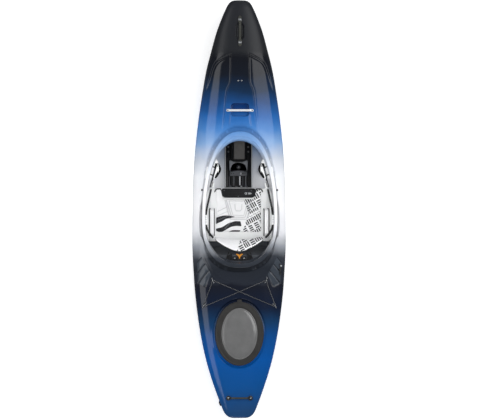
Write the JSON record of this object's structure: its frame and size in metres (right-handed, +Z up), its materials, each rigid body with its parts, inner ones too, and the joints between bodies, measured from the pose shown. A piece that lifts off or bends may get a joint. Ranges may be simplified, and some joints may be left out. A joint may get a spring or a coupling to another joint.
{
  "type": "recreational kayak",
  "caption": "Sit-inside recreational crossover kayak with a large cockpit, padded seat, backband, stern hatch, deck bungee and a drop-down skeg.",
  "frame": {"origin": "on the floor under the middle of the hull's length and beam", "axes": "+Y to the bow, +X to starboard, +Z up"},
  "size_m": [0.627, 2.79, 0.3635],
  "materials": {
    "hull_plastic": "rotomoulded polyethylene, colour faded along the length, fine moulded grain",
    "black_plastic": "moulded nylon, fine texture",
    "grey_foam": "closed-cell foam, cut faces",
    "dark_foam": "closed-cell foam",
    "white_plastic": "moulded plastic, satin",
    "pad_fabric": "coated fabric over foam, piped edge",
    "stainless_steel": "polished stainless steel",
    "hatch_rubber": "moulded rubber, matt",
    "webbing": "woven nylon webbing",
    "orange_cord": "woven orange strap",
    "bungee_cord": "braided shock cord"
  },
  "bodies": {
    "hull": {"hull_shell": "hull_plastic", "front_pillar": "dark_foam", "rear_pillar": "grey_foam", "rear_bulkhead": "dark_foam", "center_track": "black_plastic", "track_saddle": "white_plastic", "foot_rail_left": "black_plastic", "foot_rail_right": "black_plastic", "seat_pan": "white_plastic", "seat_pad": "pad_fabric", "hip_pad_left": "pad_fabric", "hip_pad_right": "pad_fabric", "backband_strap_left": "webbing", "backband_strap_right": "webbing", "ratchet_left": "white_plastic", "ratchet_right": "white_plastic", "ladder_strap_left": "black_plastic", "ladder_strap_right": "black_plastic", "backband_yoke": "orange_cord", "anchor_block": "black_plastic", "anchor_screw_left": "stainless_steel", "anchor_screw_right": "stainless_steel", "bow_handle": "black_plastic", "bow_handle_screw_front": "stainless_steel", "bow_handle_screw_rear": "stainless_steel", "stern_handle": "webbing", "stern_handle_bolt_left": "stainless_steel", "stern_handle_bolt_right": "stainless_steel", "security_bar": "stainless_steel", "deck_screw_left": "stainless_steel", "deck_screw_right": "stainless_steel", "rim_bolt_left": "stainless_steel", "rim_bolt_right": "stainless_steel", "deck_bungee": "bungee_cord", "pad_eye_front_left": "stainless_steel", "pad_eye_front_right": "stainless_steel", "pad_eye_rear_left": "stainless_steel", "pad_eye_rear_right": "stainless_steel", "hatch_rim": "black_plastic", "skeg_box": "black_plastic", "skeg_pin": "stainless_steel", "skeg_cleat": "black_plastic", "skeg_cable": "black_plastic"},
    "foot_pedal_left": {"foot_pedal_left": "black_plastic"},
    "foot_pedal_right": {"foot_pedal_right": "black_plastic"},
    "track_knob": {"track_knob": "black_plastic"},
    "leg_lifter": {"leg_lifter": "black_plastic"},
    "lifter_latch": {"lifter_latch": "stainless_steel"},
    "thigh_brace_left": {"thigh_brace_left": "white_plastic", "thigh_pad_left": "dark_foam"},
    "thigh_brace_right": {"thigh_brace_right": "white_plastic", "thigh_pad_right": "dark_foam"},
    "backband": {"backband": "pad_fabric"},
    "ratchet_lever_left": {"ratchet_lever_left": "white_plastic"},
    "ratchet_lever_right": {"ratchet_lever_right": "white_plastic"},
    "hatch_cover": {"hatch_cover": "hatch_rubber"},
    "skeg_blade": {"skeg_blade": "black_plastic"},
    "skeg_slider": {"skeg_slider": "stainless_steel"},
    "drain_plug": {"drain_plug": "black_plastic"}
  },
  "joints": [
    {"name": "foot_pedal_slide_left", "type": "slide", "parent": "hull", "child": "foot_pedal_left", "axis": [0.1831, 0.9831, 0], "range_m": [-0.12, 0.12]},
    {"name": "foot_pedal_slide_right", "type": "slide", "parent": "hull", "child": "foot_pedal_right", "axis": [-0.1831, 0.9831, 0], "range_m": [-0.12, 0.12]},
    {"name": "track_knob_turn", "type": "hinge", "parent": "hull", "child": "track_knob", "pos_m": [0, 0.286, 0.0565], "axis": [0, 0, 1], "range_deg": [-180, 180]},
    {"name": "leg_lifter_tilt", "type": "hinge", "parent": "hull", "child": "leg_lifter", "pos_m": [0, 0.086, 0.056], "axis": [1, 0, 0], "range_deg": [0, 25]},
    {"name": "lifter_latch_turn", "type": "hinge", "parent": "leg_lifter", "child": "lifter_latch", "pos_m": [0.049, 0.108, 0.0664], "axis": [0, 0, 1], "range_deg": [0, 90]},
    {"name": "thigh_brace_slide_left", "type": "slide", "parent": "hull", "child": "thigh_brace_left", "axis": [0, 1, 0], "range_m": [-0.015, 0.015]},
    {"name": "thigh_brace_slide_right", "type": "slide", "parent": "hull", "child": "thigh_brace_right", "axis": [0, 1, 0], "range_m": [-0.015, 0.015]},
    {"name": "backband_fold", "type": "hinge", "parent": "hull", "child": "backband", "pos_m": [0, -0.228, 0.088], "axis": [-1, 0, 0], "range_deg": [0, 40]},
    {"name": "ratchet_lever_lift_left", "type": "hinge", "parent": "hull", "child": "ratchet_lever_left", "pos_m": [-0.17008, 0.17337, 0.254], "axis": [-0.9659, 0.2588, 0], "range_deg": [0, 55]},
    {"name": "ratchet_lever_lift_right", "type": "hinge", "parent": "hull", "child": "ratchet_lever_right", "pos_m": [0.17008, 0.17337, 0.254], "axis": [-0.9659, -0.2588, 0], "range_deg": [0, 55]},
    {"name": "hatch_cover_lift", "type": "slide", "parent": "hull", "child": "hatch_cover", "axis": [0, 0, 1], "range_m": [0, 0.25]},
    {"name": "skeg_drop", "type": "hinge", "parent": "hull", "child": "skeg_blade", "pos_m": [0, -0.985, 0.078], "axis": [1, 0, 0], "range_deg": [0, 62]},
    {"name": "skeg_slider_slide", "type": "slide", "parent": "hull", "child": "skeg_slider", "axis": [0.0348, 0.9975, 0.0619], "range_m": [-0.05, 0]},
    {"name": "drain_plug_turn", "type": "hinge", "parent": "hull", "child": "drain_plug", "pos_m": [-0.12385, -1.3, 0.165], "axis": [-0.9039, -0.3938, -0.1672], "range_deg": [0, 720]}
  ],
  "couplings": [
    {"joint": "skeg_slider_slide", "follows": "skeg_drop", "m_per_rad": -0.0443}
  ]
}
